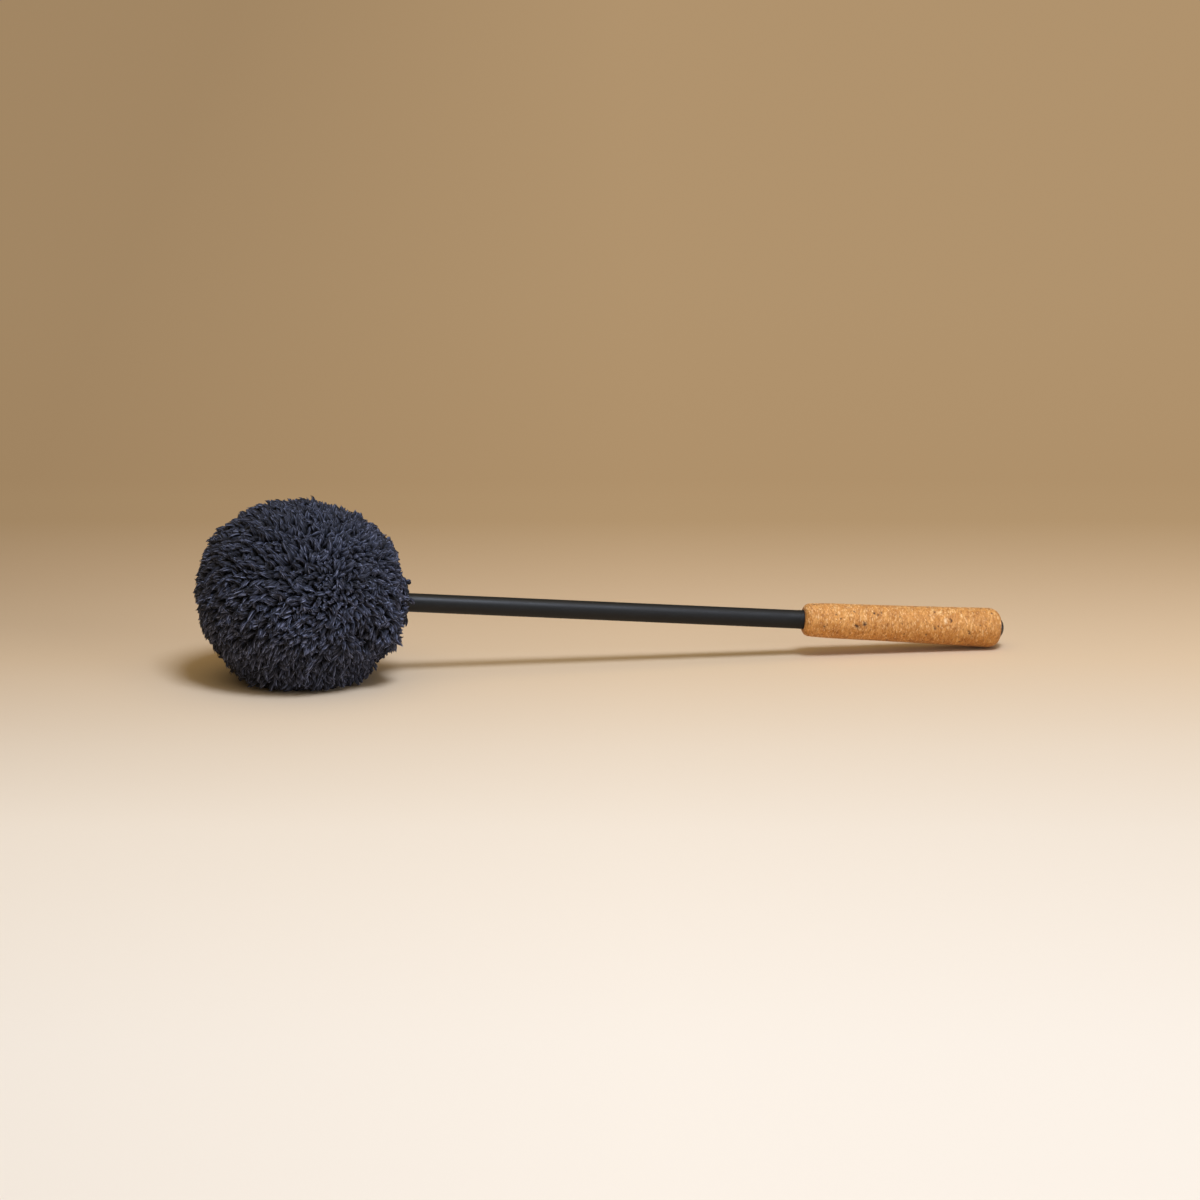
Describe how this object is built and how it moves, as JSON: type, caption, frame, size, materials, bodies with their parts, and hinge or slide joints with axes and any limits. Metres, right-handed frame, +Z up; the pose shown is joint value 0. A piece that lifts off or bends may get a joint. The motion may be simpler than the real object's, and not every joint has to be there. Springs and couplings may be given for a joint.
{
  "type": "gong mallet",
  "caption": "Soft gong mallet: fleece-covered ball head on a slim flexible tube, with a swelling cork grip and a domed butt plug.",
  "frame": {"origin": "on the floor, under the middle of the whole mallet as it lies on its head and its butt", "axes": "+X along the mallet in plan, from the head to the butt; +Z up; the shaft tips down towards +X"},
  "size_m": [0.4386, 0.1056, 0.096],
  "materials": {
    "fleece": "deep-pile slate blue fleece",
    "thread": "waxed thread",
    "padding": "soft white padding",
    "felt": "firm grey felt",
    "core_wood": "turned beech, unpolished",
    "steel": "zinc plated",
    "alloy": "turned",
    "brass": "turned",
    "satin_tube": "black satin lacquer on glass fibre",
    "cork": "agglomerated cork, sanded",
    "black_plastic": "moulded, slightly glossy"
  },
  "bodies": {
    "root": {"fleece_cover": "fleece", "neck_binding": "thread", "padding_front": "padding", "padding_rear": "padding", "felt_band": "felt", "felt_disc_front": "felt", "felt_disc_rear": "felt", "head_core": "core_wood", "core_weight": "steel", "stop_collar": "alloy", "core_washer": "steel", "spring_washer": "steel", "core_screw": "steel", "tube_insert": "brass", "shaft_tube": "satin_tube", "cork_grip": "cork", "butt_plug": "black_plastic"}
  },
  "joints": []
}
